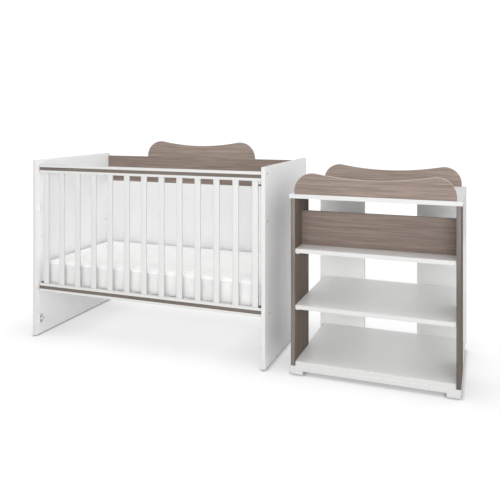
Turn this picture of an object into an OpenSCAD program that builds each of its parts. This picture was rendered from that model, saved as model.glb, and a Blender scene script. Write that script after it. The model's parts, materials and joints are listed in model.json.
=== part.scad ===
// A baby's cot with a gate that slides down, and a changing table that stands
// beside its right-hand end panel. Millimetres.
// X runs along the cot, Y from its front to its back and Z up. The origin is on
// the floor, in the middle of the whole set. Modules measure x from the outer face
// of the cot's left end panel and y from the end panels' front edges, and place()
// moves them to the origin.

/* [Boards] */
// Thickness of the laminated boards
board_t = 18; // [16:0.5:22]

/* [Cot] */
// Length of the mattress space, between the end panels
inside_l = 1200; // [1100:10:1400]
// Width of the mattress space, between the gate and the back
inside_w = 600; // [560:10:700]
// Top of the end panels above the floor
panel_top = 882; // [860:1:960]
// Height of the glides under the end panels
glide_h = 3; // [2:0.5:8]
// The back stands this far inside the end panels' back edges
back_inset = 2; // [0:0.5:10]
// The back's top edge lies this far below the end panels' top
back_drop = 14; // [0:1:30]
// Height of the wood-coloured board at the top of the back
back_top_h = 148; // [100:1:200]
// Bottom of the back panel above the floor
back_bottom = 222; // [200:1:240]

/* [Gate] */
// The gate stands this far behind the end panels' front edges
gate_setback = 23; // [5:1:40]
// Thickness of the gate's rails
gate_t = 22; // [20:1:30]
// Gap between a rail's end and the end panel
gate_end_gap = 5; // [3:0.5:6]
// Height of each rail
rail_h = 40; // [36:1:60]
// Bottom of the lower rail above the floor
rail_bottom = 222; // [215:1:240]
// The upper rail's top lies this far below the end panels' top
rail_drop = 23; // [5:1:40]
// Height of the coloured stripe along each rail
stripe_h = 16; // [8:1:24]
// Depth of the stripe's groove
stripe_t = 2; // [1:0.5:3]
// How many upright slats
slat_n = 13; // [11:1:14]
// Width of a slat
slat_w = 30; // [24:1:36]
// Thickness of a slat
slat_t = 12; // [10:1:16]
// From a rail's end to the first slat
slat_margin = 19.5; // [19:0.5:40]
// Depth of a slat's tenon in the rail
tenon_l = 10; // [6:1:12]
// The gate slides down this far
gate_travel = 120; // [60:1:120]

/* [Gate guides] */
// Diameter of the gate's two upright rods
rod_d = 6; // [5:0.5:8]
// From the end panel's inner face to the rod's axis
rod_offset = 17.5; // [15:0.5:18]
// Gap between a rod and the guide that it slides in
slide_gap = 0.3; // [0.25:0.05:0.5]
// Centre of the guides half way up the end panels
guide_z = 643; // [600:1:660]
// Height of a guide
guide_h = 42; // [20:1:50]
// Height of the rests near the floor, which stop the lowered gate
rest_h = 42; // [30:1:60]
// Length of the collar and ring below the upper rail
collar_l = 22; // [12:1:30]
// Height of the stop bolt above the upper rail's bottom
stop_rise = 33; // [28:1:34]

/* [Mattress] */
// Gap round the mattress
mattress_gap = 2; // [1:0.5:10]
// Thickness of the mattress at its edge
mattress_t = 115; // [70:1:130]
// Rise of the mattress towards its middle
mattress_crown = 5; // [0:0.5:12]
// Radius of the mattress's corners, seen from above
mattress_r = 30; // [15:1:60]
// Radius of the mattress's upper and lower edges
mattress_edge_r = 12; // [5:1:20]
// How far the long sides draw in between the corners
mattress_draw = 4; // [0:0.5:8]

/* [Mattress base] */
// Thickness of the bearers
bearer_t = 20; // [18:1:30]
// Height of the bearers
bearer_h = 36; // [30:1:38]
// Centre of the bearers' bolts above the floor
base_z = 235; // [232:1:245]
// The bearers' top lies this far above their bolts
bearer_rise = 16; // [14:1:24]
// Centre of the blind holes for the upper setting
base_upper_z = 492; // [450:1:540]
// How many bars carry the mattress
bar_n = 12; // [8:1:14]
// Width of a bar
bar_w = 68; // [40:1:80]
// Thickness of a bar, which lies in notches in the bearers
bar_t = 8; // [6:1:10]

/* [Curved boards] */
// Width of the crest and of each guard
curve_w = 662; // [600:2:680]
// Height of the two humps
hump_h = 90; // [88:1:110]
// Height of the dip between the humps
dip_h = 67; // [50:1:72]
// Radius of the crest's rounded ends
crest_end_r = 87; // [80:1:90]
// Radius of the guards' rounded ends
guard_end_r = 78; // [75:1:90]

/* [Changing table] */
// Gap between the cot's end panel and the table's posts
units_gap = 112; // [20:1:200]
// Width over the posts
changer_w = 692; // [690:1:800]
// The posts stand this far behind the cot's front edges
changer_setback = 14; // [0:1:60]
// Depth from the posts' front to the back of the back panels
changer_d = 556; // [480:1:640]
// Depth of a post
post_d = 225; // [150:1:250]
// Top of the posts above the floor
post_top = 753; // [720:1:800]
// The top board stands proud of the posts' sides by this much
top_overhang = 5.5; // [0:0.5:20]
// The top board stands proud of the posts' front by this much
top_lip = 8; // [0:1:20]
// The base board stands proud of the posts' front by this much
base_lip = 4; // [0:1:10]
// Height of the feet
foot_h = 18; // [15:1:40]
// Width of a foot
foot_w = 52; // [30:1:80]
// Top of the middle shelf above the floor
shelf_middle_top = 295; // [250:1:330]
// Top of the upper shelf above the floor
shelf_upper_top = 536; // [480:1:560]
// The shelves lie this far behind the posts' front
shelf_setback = 6; // [0:1:20]
// Height of the apron on the upper shelf
apron_h = 150; // [100:1:170]
// The apron stands this far behind the posts' front
apron_setback = 106; // [60:1:160]
// Width of each back panel
changer_back_w = 225; // [150:1:300]

/* [Fixings] */
// Diameter of the bolts
bolt_d = 6; // [5:0.5:7]
// Diameter of a bolt's head
bolt_head_d = 11.4; // [10:0.1:12]
// Height of a bolt's head
bolt_head_h = 3.5; // [3:0.1:4]
// How far a bolt's head lies below the board's face
head_sink = 0.5; // [0.2:0.1:1]
// Reach of the long bolts beyond the end panel
bolt_reach = 38; // [34:1:45]
// Diameter of the barrel nuts
nut_d = 10; // [9:0.5:11]
// Length of the barrel nuts
nut_l = 12; // [10:0.5:13]
// Diameter of the wooden dowels
dowel_d = 8; // [6:0.5:9]
// Length of the wooden dowels
dowel_l = 30; // [24:1:36]
// Radial gap between a fixing and its hole
fit = 0.15; // [0.1:0.05:0.3]
// Diameter of the two accessory holes in each end panel
hook_hole_d = 5; // [4:0.5:6]
// Distance between these two holes
hook_hole_step = 128; // [96:32:160]
// Height of these two holes above the floor
hook_hole_z = 849; // [830:1:852]
// The first of these two holes lies this far behind the front edge
hook_hole_y = 243; // [200:1:260]

/* [Hidden] */
$fn = 64;

white = [0.94, 0.94, 0.93];
taupe = [0.55, 0.48, 0.44];
steel = [0.62, 0.63, 0.65];
dark = [0.16, 0.15, 0.15];
beech = [0.80, 0.66, 0.48];

// Cot
cot_l = inside_l + 2 * board_t;
gate_back_y = gate_setback + gate_t;
gate_mid_y = gate_setback + gate_t / 2;
back_y = gate_back_y + inside_w;
cot_d = back_y + board_t + back_inset;
back_top = panel_top - back_drop;
back_mid_y = back_y + board_t / 2;

// Curved boards
hollow_bite = 0.1;

// Gate
rail_l = inside_l - 2 * gate_end_gap;
rail_x = board_t + gate_end_gap;
upper_rail_z = panel_top - rail_drop - rail_h;
slat_z = rail_bottom + rail_h;
slat_l = upper_rail_z - slat_z;
slat_pitch = (rail_l - 2 * slat_margin - slat_w) / (slat_n - 1);
tenon_shoulder = 3;
tenon_cheek = 2;

// Gate guides
rod_x = board_t + rod_offset;
rod_socket = 10;
rod_bottom = slat_z - rod_socket;
rod_l = slat_l + 2 * rod_socket;
rod_hole_d = rod_d + 2 * fit;
ring_d = rod_d + 6;
ring_h = 8;
guide_w = 18;
guide_nose_d = rod_d + 5;
guide_bolt_reach = 8;
stop_z = upper_rail_z + stop_rise;
stop_reach = gate_end_gap + 2;
stop_groove_w = bolt_d + 2;
stop_groove_d = stop_reach - gate_end_gap + 1;
rest_gap = 0.5;
rest_top = rail_bottom - gate_travel - rest_gap;
rest_t = gate_end_gap + 2;
rest_w = 24;
rest_mid_z = rest_top - rest_h / 2;
rest_peg_d = 12;
rest_peg_l = 16;
rest_peg_shift = 6;
screw_d = 4;
screw_head_d = 7.5;
screw_head_h = 2.2;
screw_l = 15;
screw_rise = 11;
screw_shift = -5;

// Mattress base and mattress
bearer_gap = 1;
bearer_front_y = gate_back_y + bearer_gap;
bearer_back_y = back_y - bearer_gap - bearer_t;
bearer_bolt_ys = [bearer_front_y + bearer_t / 2, bearer_back_y + bearer_t / 2];
bearer_l = inside_l;
bearer_top = base_z + bearer_rise;
bars_z = bearer_top - bar_t;
bar_l = bearer_back_y + bearer_t - bearer_front_y;
bar_margin = 42;
bar_pitch = (inside_l - 2 * bar_margin - bar_w) / (bar_n - 1);
mattress_lift_gap = 0.3;
mattress_z = bearer_top + mattress_lift_gap;
mattress_l = inside_l - 2 * mattress_gap;
mattress_w = inside_w - 2 * mattress_gap;
level_hole_d = 8;
level_insets = [5, 30];
blind_depth = 12;
edge_bolt_rise = 78;
edge_bolt_drop = 24;
joint_bolt_drop = 80;
edge_bolt_zs = [back_bottom + edge_bolt_rise, back_top - back_top_h - joint_bolt_drop,
                back_top - edge_bolt_drop];

// Fixings
bolt_hole_d = bolt_d + 2 * fit;
head_hole_d = bolt_head_d + 2 * fit;
head_hole_depth = head_sink + bolt_head_h;
socket_d = 5.4;
socket_depth = 2.4;
nut_inset = 30;
nut_hole_d = nut_d + 2 * fit;
nut_bore_d = bolt_d + 2 * fit;
dowel_hole_d = dowel_d + 2 * fit;
dowel_clear = 1;
blind_skin = 4;
blind_dowel = board_t - blind_skin - dowel_clear;
glide_d = 16;
glide_pin_d = 4;
glide_pin_l = 10;
glide_inset = 40;
glide_ys = [glide_inset, cot_d - glide_inset];

// Changing table
changer_x = cot_l + units_gap;
changer_y = changer_setback;
changer_back_y = changer_y + changer_d - board_t;
base_z0 = foot_h;
post_z = foot_h + board_t;
shelf_x = changer_x + board_t;
shelf_l = changer_w - 2 * board_t;
shelf_y = changer_y + shelf_setback;
shelf_d = changer_back_y - shelf_y;
top_x = changer_x - top_overhang;
top_w = changer_w + 2 * top_overhang;
top_y = changer_y - top_lip;
top_z = post_top + board_t;
guard_x = changer_x + (changer_w - curve_w) / 2;
apron_y = changer_y + apron_setback;
foot_inset = 2;
foot_xs = [changer_x + foot_inset, changer_x + changer_w - foot_w - foot_inset];
foot_end_r = 8;
foot_dowel_inset = 60;
foot_dowel_depth = 12;
support_peg_d = 5;
support_peg_l = 9;
support_pad = 12;
support_h = 6;
support_front = 24;
support_back = 40;
support_ys = [changer_y + support_front, changer_y + post_d - support_back];
post_dowel_inset = 45;
back_dowel_insets = [30, 145];
back_screw_inset = 45;
panel_screw_d = 6;
panel_screw_l = 48;
panel_screw_head_d = 10;
panel_screw_head_h = 2;

// Whole set
set_l = changer_x + changer_w + top_overhang;

// ---- Placing ----

// Moves what is measured from the cot's front left corner to the set's own origin
module place() {
    translate([-set_l / 2, -cot_d / 2, 0]) children();
}

// Draws the left-hand piece and its mirror image at the cot's right-hand end
module both_ends() {
    children();
    translate([cot_l, 0, 0]) mirror([1, 0, 0]) children();
}

module block(x, y, z, l, w, h) {
    translate([x, y, z]) cube([l, w, h]);
}

// A round bar along X, Y or Z from a point
module bar_x(x, y, z, d, l) {
    translate([x, y, z]) rotate([0, 90, 0]) cylinder(d = d, h = l);
}

module bar_y(x, y, z, d, l) {
    translate([x, y, z]) rotate([-90, 0, 0]) cylinder(d = d, h = l);
}

module bar_z(x, y, z, d, l) {
    translate([x, y, z]) cylinder(d = d, h = l);
}

// ---- Fixings ----

// A bolt along +X with a sunk socket head, from the end panel's outer face
module bolt(reach) {
    difference() {
        bar_x(head_sink, 0, 0, bolt_head_d, bolt_head_h);
        translate([head_sink - 1, 0, 0]) rotate([0, 90, 0])
            cylinder(d = socket_d, h = socket_depth + 1, $fn = 6);
    }
    bar_x(head_sink + bolt_head_h, 0, 0, bolt_d, board_t - head_hole_depth + reach);
}

module bolt_hole() {
    bar_x(-1, 0, 0, bolt_hole_d, board_t + 2);
    bar_x(-1, 0, 0, head_hole_d, head_hole_depth + 1);
}

// The hole in a board's end for a bolt, and the cross hole for its barrel nut
module nut_holes(x, y, z, t, open_back) {
    bar_x(x - 1, y, z, bolt_hole_d, bolt_reach + 3);
    hole_y = open_back ? y - nut_l / 2 - 1 : y - t / 2 - 1;
    bar_y(x + nut_inset, hole_y, z, nut_hole_d, t / 2 + nut_l / 2 + 2);
}

module barrel_nut(x, y, z) {
    difference() {
        bar_y(x, y - nut_l / 2, z, nut_d, nut_l);
        bar_x(x - nut_d, y, z, nut_bore_d, 2 * nut_d);
    }
}

// ---- Cot ----

module end_panel() {
    difference() {
        block(0, 0, glide_h, board_t, cot_d, panel_top - glide_h);
        for (p = bolt_places()) translate([0, p[0], p[1]]) bolt_hole();
        for (z = [stop_z, guide_z]) translate([0, gate_mid_y, z]) bolt_hole();
        for (dy = [0, hook_hole_step])
            bar_x(board_t - blind_depth, hook_hole_y + dy, hook_hole_z, hook_hole_d, blind_depth + 1);
        for (inset = level_insets, y = [gate_back_y + inset, back_y - inset])
            bar_x(board_t - blind_depth, y, base_upper_z, level_hole_d, blind_depth + 1);
        rest_screw_holes();
        for (y = glide_ys)
            bar_z(board_t / 2, y, glide_h - 1, glide_pin_d + 2 * fit, glide_pin_l + 2);
    }
}

// Where long bolts pass through an end panel, as [y, z]
function bolt_places() = concat(
    [for (y = bearer_bolt_ys) [y, base_z]],
    [for (z = edge_bolt_zs) [back_mid_y, z]]);

module left_end_panel() {
    color(white) place() end_panel();
}

module right_end_panel() {
    color(white) place() translate([cot_l, 0, 0]) mirror([1, 0, 0]) end_panel();
}

module edge_nut_holes(z) {
    both_ends() nut_holes(board_t, back_mid_y, z, board_t, true);
}

// Places along the joint between the back's two boards
back_dowel_xs = [for (k = [1:5]) board_t + inside_l * k / 6];

module back_panel() {
    color(white) place() difference() {
        block(board_t, back_y, back_bottom, inside_l, board_t, back_top - back_top_h - back_bottom);
        for (k = [0, 1]) edge_nut_holes(edge_bolt_zs[k]);
        for (x = back_dowel_xs)
            bar_z(x, back_mid_y, back_top - back_top_h - dowel_l / 2 - dowel_clear, dowel_hole_d, dowel_l);
    }
}

module back_top_board() {
    color(taupe) place() difference() {
        block(board_t, back_y, back_top - back_top_h, inside_l, board_t, back_top_h);
        edge_nut_holes(edge_bolt_zs[2]);
        for (x = back_dowel_xs)
            bar_z(x, back_mid_y, back_top - back_top_h - 1, dowel_hole_d, dowel_l / 2 + dowel_clear + 1);
        for (x = crest_dowel_xs)
            bar_z(x, back_mid_y, back_top - dowel_l / 2 - dowel_clear, dowel_hole_d, dowel_l);
    }
}

module back_dowels() {
    color(beech) place() for (x = back_dowel_xs)
        bar_z(x, back_mid_y, back_top - back_top_h - dowel_l / 2, dowel_d, dowel_l);
}

// The outline of a curved board: two humps with round ends, and one hollow arc
// that bites just deep enough into the humps to cross them cleanly. Its straight
// edge lies on the X axis.
module curve_outline(end_r) {
    span = curve_w / 2 - end_r;
    rise = hump_h - end_r;
    low = dip_h - rise;
    hollow_r = (span * span + low * low - end_r * end_r) / (2 * (hump_h - dip_h));
    touch_x = span * hollow_r / (hollow_r + end_r);
    touch_z = rise + end_r * (low + hollow_r) / (hollow_r + end_r);
    intersection() {
        union() {
            for (side = [-1, 1]) translate([side * span, rise]) circle(r = end_r, $fn = 120);
            difference() {
                translate([-touch_x, 0]) square([2 * touch_x, touch_z]);
                translate([0, dip_h + hollow_r - hollow_bite]) circle(r = hollow_r, $fn = 720);
            }
        }
        translate([-curve_w / 2 - 1, 0]) square([curve_w + 2, hump_h + 1]);
    }
}

module curved_board(x, y, z, end_r, dowel_xs, hole_depth) {
    difference() {
        translate([x + curve_w / 2, y + board_t, z]) rotate([90, 0, 0])
            linear_extrude(board_t) curve_outline(end_r);
        for (dx = dowel_xs)
            bar_z(dx, y + board_t / 2, z - 1, dowel_hole_d, hole_depth + 1);
    }
}

function curve_dowel_xs(x) = [for (k = [1:3]) x + curve_w * k / 4];
crest_dowel_xs = curve_dowel_xs((cot_l - curve_w) / 2);

module crest_board() {
    color(taupe) place()
        curved_board((cot_l - curve_w) / 2, back_y, back_top, crest_end_r, crest_dowel_xs,
                     dowel_l / 2 + dowel_clear);
}

module crest_dowels() {
    color(beech) place() for (x = crest_dowel_xs)
        bar_z(x, back_mid_y, back_top - dowel_l / 2, dowel_d, dowel_l);
}

function base_bar_x(i) = board_t + bar_margin + i * bar_pitch;

// A bearer with a notch in its top for each bar
module bearer(y, open_back) {
    difference() {
        block(board_t, y, bearer_top - bearer_h, bearer_l, bearer_t, bearer_h);
        both_ends() nut_holes(board_t, y + bearer_t / 2, base_z, bearer_t, open_back);
        for (i = [0:bar_n - 1])
            block(base_bar_x(i) - fit, y - 1, bars_z, bar_w + 2 * fit, bearer_t + 2, bar_t + 1);
    }
}

module bearer_front() {
    color(beech) place() bearer(bearer_front_y, true);
}

module bearer_back() {
    color(beech) place() bearer(bearer_back_y, false);
}

module base_bars() {
    color(beech) place() for (i = [0:bar_n - 1])
        block(base_bar_x(i), bearer_front_y, bars_z, bar_w, bar_l, bar_t);
}

module panel_bolts() {
    color(steel) place() both_ends()
        for (p = bolt_places()) translate([0, p[0], p[1]]) bolt(bolt_reach);
}

module guide_bolts() {
    color(steel) place() both_ends() {
        translate([0, gate_mid_y, stop_z]) bolt(stop_reach);
        translate([0, gate_mid_y, guide_z]) bolt(guide_bolt_reach);
    }
}

module barrel_nuts() {
    color(steel) place() both_ends()
        for (p = bolt_places()) barrel_nut(board_t + nut_inset, p[0], p[1]);
}

module cot_glides() {
    color(dark) place() both_ends() for (y = glide_ys) {
        bar_z(board_t / 2, y, 0, glide_d, glide_h);
        bar_z(board_t / 2, y, glide_h, glide_pin_d, glide_pin_l);
    }
}

// ---- Gate guides ----

// A block on the end panel that the gate's rod slides through
module rod_guides() {
    bottom = guide_z - guide_h / 2;
    color(white) place() both_ends() difference() {
        union() {
            block(board_t, gate_mid_y - guide_w / 2, bottom,
                  rod_offset - guide_nose_d / 2, guide_w, guide_h);
            block(board_t, gate_mid_y - guide_nose_d / 2, bottom, rod_offset, guide_nose_d, guide_h);
            bar_z(rod_x, gate_mid_y, bottom, guide_nose_d, guide_h);
        }
        bar_z(rod_x, gate_mid_y, bottom - 1, rod_d + 2 * slide_gap, guide_h + 2);
        bar_x(board_t - 1, gate_mid_y, guide_z, bolt_hole_d, guide_bolt_reach + 1.5);
    }
}

module rest_screw_holes() {
    for (side = [-1, 1])
        bar_x(board_t + rest_t - screw_l - 1, gate_mid_y + screw_shift, rest_mid_z + side * screw_rise,
              screw_d + 2 * fit, screw_l + 2);
}

// A block near the floor that the lower rail's end comes down on, with a peg
module gate_rests() {
    color(white) place() both_ends() {
        difference() {
            block(board_t, gate_mid_y - rest_w / 2, rest_top - rest_h, rest_t, rest_w, rest_h);
            rest_screw_holes();
        }
        bar_x(board_t, gate_mid_y + rest_peg_shift, rest_mid_z, rest_peg_d, rest_peg_l);
    }
}

module rest_screws() {
    head_x = board_t + rest_t;
    color(dark) place() both_ends() for (side = [-1, 1])
        translate([head_x, gate_mid_y + screw_shift, rest_mid_z + side * screw_rise]) {
            bar_x(0, 0, 0, screw_head_d, screw_head_h);
            bar_x(-screw_l, 0, 0, screw_d, screw_l);
        }
}

// ---- Gate ----

function slat_x(i) = rail_x + slat_margin + (i - 1) * slat_pitch;

module gate_rail(z, mortise_z) {
    difference() {
        block(rail_x, gate_setback, z, rail_l, gate_t, rail_h);
        block(rail_x - 1, gate_setback - 1, z + (rail_h - stripe_h) / 2,
              rail_l + 2, stripe_t + 1, stripe_h);
        for (i = [1:slat_n])
            block(slat_x(i) + tenon_shoulder - fit, gate_mid_y - slat_t / 2 + tenon_cheek - fit, mortise_z,
                  slat_w - 2 * tenon_shoulder + 2 * fit, slat_t - 2 * tenon_cheek + 2 * fit, tenon_l + 2);
    }
}

// A blind hole in a rail for the end of a rod
module rod_socket_hole(z) {
    bar_z(rod_x, gate_mid_y, z, rod_hole_d, rod_socket + 2);
}

module stripe(z) {
    block(rail_x, gate_setback, z + (rail_h - stripe_h) / 2, rail_l, stripe_t, stripe_h);
}

module gate_top_rail() {
    color(white) place() difference() {
        gate_rail(upper_rail_z, upper_rail_z - 1);
        both_ends() {
            rod_socket_hole(upper_rail_z - 1);
            block(rail_x - 1, gate_mid_y - stop_groove_w / 2, stop_z - stop_groove_w / 2,
                  stop_groove_d + 1, stop_groove_w, rail_h);
        }
    }
}

module gate_top_stripe() {
    color(taupe) place() stripe(upper_rail_z);
}

module gate_bottom_rail() {
    color(white) place() difference() {
        gate_rail(rail_bottom, slat_z - tenon_l - 1);
        both_ends() rod_socket_hole(rod_bottom - 1);
    }
}

module gate_bottom_stripe() {
    color(taupe) place() stripe(rail_bottom);
}

module gate_slat(i) {
    color(white) place() {
        block(slat_x(i), gate_mid_y - slat_t / 2, slat_z, slat_w, slat_t, slat_l);
        block(slat_x(i) + tenon_shoulder, gate_mid_y - slat_t / 2 + tenon_cheek, slat_z - tenon_l,
              slat_w - 2 * tenon_shoulder, slat_t - 2 * tenon_cheek, slat_l + 2 * tenon_l);
    }
}

module gate_rod() {
    bar_z(rod_x, gate_mid_y, rod_bottom, rod_d, rod_l);
}

module gate_rod_left() {
    color(steel) place() gate_rod();
}

module gate_rod_right() {
    color(steel) place() translate([cot_l, 0, 0]) mirror([1, 0, 0]) gate_rod();
}

// A ring round a rod
module rod_ring(z, h) {
    difference() {
        bar_z(rod_x, gate_mid_y, z, ring_d, h);
        bar_z(rod_x, gate_mid_y, z - 1, rod_hole_d, h + 2);
    }
}

module gate_rings() {
    color(dark) place() both_ends() rod_ring(slat_z, ring_h);
}

module gate_collars() {
    color(white) place() both_ends() rod_ring(upper_rail_z - collar_l + ring_h, collar_l - ring_h);
}

// Only the right-hand collar ends in a dark ring
module catch_ring() {
    color(dark) place() translate([cot_l, 0, 0]) mirror([1, 0, 0])
        rod_ring(upper_rail_z - collar_l, ring_h);
}

// ---- Mattress ----

corner_steps = 5;
inner_r = 8;
crown_insets = [40, 90, 160, 230, mattress_w / 2 - 30];
long_steps = 16;
short_steps = 8;

// Points on one rounded corner, a quarter turn on from the angle start
function corner(x, y, r, start, z) =
    [for (k = [0:corner_steps]) let (g = start + 90 * k / corner_steps)
        [x + r * cos(g), y + r * sin(g), z]];

// Points along a side between two corners, as [place from -1 to 1, how far it draws in]
function side(steps) =
    [for (k = [0:steps - 1]) let (t = -1 + 2 * (k + 0.5) / steps) [t, 1 - t * t]];

// Points round a rounded rectangle that is inset from the mattress's full size;
// the long and short sides draw in towards their middles
function ring(inset, z, draw) =
    let (a = mattress_l / 2 - inset, b = mattress_w / 2 - inset,
         r = max(mattress_r - inset, inner_r), x = a - r, y = b - r,
         end_draw = draw * mattress_w / mattress_l)
    concat(
        [for (s = side(short_steps)) [a - end_draw * s[1], s[0] * y, z]], corner(x, y, r, 0, z),
        [for (s = side(long_steps)) [-s[0] * x, b - draw * s[1], z]], corner(-x, y, r, 90, z),
        [for (s = side(short_steps)) [end_draw * s[1] - a, -s[0] * y, z]], corner(-x, -y, r, 180, z),
        [for (s = side(long_steps)) [s[0] * x, draw * s[1] - b, z]], corner(x, -y, r, 270, z));

// Height of the upper face at an inset from the edge
function crown_z(inset) =
    let (u = 1 - min(inset / (mattress_w / 2), 1)) mattress_t + mattress_crown * (1 - u * u);

mattress_rings = let (e = mattress_edge_r) concat(
    [for (g = [0:30:90]) ring(e - e * sin(g), e - e * cos(g), mattress_draw * sin(g))],
    [ring(mattress_draw / 2, mattress_t / 2, mattress_draw)],
    [for (g = [90:-30:0]) ring(e - e * sin(g), mattress_t - e + e * cos(g), mattress_draw * sin(g))],
    [for (inset = crown_insets) ring(inset, crown_z(inset), 0)]);

module mattress() {
    n = len(mattress_rings[0]);
    m = len(mattress_rings);
    middle = [[0, 0, 0], [0, 0, mattress_t + mattress_crown]];
    points = concat([for (r = mattress_rings) each r], middle);
    walls = [for (j = [0:m - 2], i = [0:n - 1])
        let (a = j * n + i, b = j * n + (i + 1) % n, c = a + n, d = b + n)
        each [[a, c, b], [b, c, d]]];
    under = [for (i = [0:n - 1]) [i, (i + 1) % n, m * n]];
    over = [for (i = [0:n - 1]) [(m - 1) * n + (i + 1) % n, (m - 1) * n + i, m * n + 1]];
    color(white) place() translate([cot_l / 2, gate_back_y + inside_w / 2, mattress_z])
        polyhedron(points, concat(walls, under, over), convexity = 4);
}

// ---- Changing table ----

// A runner from front to back under one end of the base board, with round ends
module foot(x) {
    translate([x, changer_y - base_lip, 0]) difference() {
        union() {
            block(0, foot_end_r, 0, foot_w, changer_d + base_lip - 2 * foot_end_r, foot_h);
            for (y = [foot_end_r, changer_d + base_lip - foot_end_r])
                bar_x(0, y, foot_end_r, 2 * foot_end_r, foot_w);
            block(0, 0, foot_end_r, foot_w, changer_d + base_lip, foot_h - foot_end_r);
        }
        for (y = foot_dowel_ys)
            bar_z(foot_w / 2, y, foot_h - foot_dowel_depth, dowel_hole_d, foot_dowel_depth + 1);
    }
}

foot_dowel_ys = [foot_dowel_inset, changer_d - foot_dowel_inset];

module foot_left() {
    color(white) place() foot(foot_xs[0]);
}

module foot_right() {
    color(white) place() foot(foot_xs[1]);
}

// Places of the dowels that stand in the ends of the posts and back panels, as [x, y]
upright_dowels = [
    for (x = [changer_x + board_t / 2, changer_x + changer_w - board_t / 2])
        for (y = [changer_y + post_dowel_inset, changer_y + post_d - post_dowel_inset]) [x, y],
    for (inset = back_dowel_insets, x = [top_x + inset, top_x + top_w - inset])
        [x, changer_back_y + board_t / 2]];

module upright_dowel_holes() {
    for (p = upright_dowels, z = [post_z, post_top])
        bar_z(p[0], p[1], z - dowel_l / 2 - dowel_clear, dowel_hole_d, dowel_l + 2 * dowel_clear);
}

// Blind holes for the same dowels in the base and top boards
module board_dowel_holes(z, up) {
    depth = board_t - blind_skin;
    for (p = upright_dowels) bar_z(p[0], p[1], up ? z - 1 : z - depth, dowel_hole_d, depth + 1);
}

module base_board() {
    color(white) place() difference() {
        block(changer_x, changer_y - base_lip, base_z0, changer_w, changer_d + base_lip, board_t);
        board_dowel_holes(post_z, false);
        for (x = foot_xs, y = foot_dowel_ys)
            bar_z(x + foot_w / 2, changer_y - base_lip + y, base_z0 - 1, dowel_hole_d,
                  board_t - blind_skin + 1);
    }
}

module post(x, inner_x) {
    difference() {
        block(x, changer_y, post_z, board_t, post_d, post_top - post_z);
        upright_dowel_holes();
        for (z = [shelf_middle_top, shelf_upper_top], y = support_ys)
            bar_x(inner_x - support_peg_l - 1, y, z - board_t - support_h / 2,
                  support_peg_d + 2 * fit, 2 * support_peg_l + 2);
    }
}

module post_left() {
    color(taupe) place() post(changer_x, changer_x + board_t);
}

module post_right() {
    color(taupe) place() post(changer_x + changer_w - board_t, changer_x + changer_w - board_t);
}

// Places of the screws through a back panel into the shelves, as [x, z]
function back_screw_places() = [
    for (x = [shelf_x + back_screw_inset, shelf_x + shelf_l - back_screw_inset,
              top_x + changer_back_w - back_screw_inset,
              top_x + top_w - changer_back_w + back_screw_inset])
        for (z = [post_z + board_t / 2, shelf_middle_top - board_t / 2, shelf_upper_top - board_t / 2])
            [x, z]];

module back_screw_holes() {
    for (p = back_screw_places()) {
        bar_y(p[0], changer_back_y - panel_screw_l + board_t - 1, p[1],
              panel_screw_d + 2 * fit, panel_screw_l + 2);
        bar_y(p[0], changer_back_y + board_t - panel_screw_head_h, p[1],
              panel_screw_head_d + 2 * fit, panel_screw_head_h + 1);
    }
}

module changer_back(x) {
    difference() {
        block(x, changer_back_y, post_z, changer_back_w, board_t, post_top - post_z);
        upright_dowel_holes();
        back_screw_holes();
    }
}

module changer_back_left() {
    color(white) place() changer_back(top_x);
}

module changer_back_right() {
    color(white) place() changer_back(top_x + top_w - changer_back_w);
}

module shelf(z) {
    difference() {
        block(shelf_x, shelf_y, z, shelf_l, shelf_d, board_t);
        back_screw_holes();
    }
}

module shelf_bottom() {
    color(white) place() shelf(post_z);
}

module shelf_middle() {
    color(white) place() shelf(shelf_middle_top - board_t);
}

// Depth of a hole for the end of a dowel that stands out of a blind hole
long_dowel_hole = dowel_l - board_t + blind_skin + dowel_clear;
apron_dowel_xs = [for (k = [1:3]) shelf_x + shelf_l * k / 4];

module shelf_upper() {
    color(white) place() difference() {
        shelf(shelf_upper_top - board_t);
        for (x = apron_dowel_xs)
            bar_z(x, apron_y + board_t / 2, shelf_upper_top - board_t + blind_skin, dowel_hole_d,
                  board_t);
    }
}

module apron() {
    color(taupe) place() difference() {
        block(shelf_x, apron_y, shelf_upper_top, shelf_l, board_t, apron_h);
        for (x = apron_dowel_xs)
            bar_z(x, apron_y + board_t / 2, shelf_upper_top - 1, dowel_hole_d, long_dowel_hole + 1);
    }
}

guard_front_y = top_y + top_lip;
guard_dowel_xs = curve_dowel_xs(guard_x);

module top_board() {
    color(white) place() difference() {
        block(top_x, top_y, post_top, top_w, top_lip + changer_d, board_t);
        board_dowel_holes(post_top, true);
        for (x = guard_dowel_xs, y = [guard_front_y, changer_back_y])
            bar_z(x, y + board_t / 2, post_top + blind_skin, dowel_hole_d, board_t);
    }
}

module guard(y) {
    curved_board(guard_x, y, top_z, guard_end_r, guard_dowel_xs, long_dowel_hole);
}

module front_guard() {
    color(taupe) place() guard(guard_front_y);
}

module back_guard() {
    color(taupe) place() guard(changer_back_y);
}

// Pegs in the posts, each with a pad that the shelf lies on
module shelf_supports() {
    inner_left = shelf_x;
    inner_right = shelf_x + shelf_l;
    color(white) place() for (z = [shelf_middle_top, shelf_upper_top], y = support_ys) {
        peg_z = z - board_t - support_h / 2;
        bar_x(inner_left - support_peg_l, y, peg_z, support_peg_d, support_peg_l);
        block(inner_left, y - support_pad / 2, z - board_t - support_h,
              support_pad, support_pad, support_h);
        bar_x(inner_right, y, peg_z, support_peg_d, support_peg_l);
        block(inner_right - support_pad, y - support_pad / 2, z - board_t - support_h,
              support_pad, support_pad, support_h);
    }
}

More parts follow.
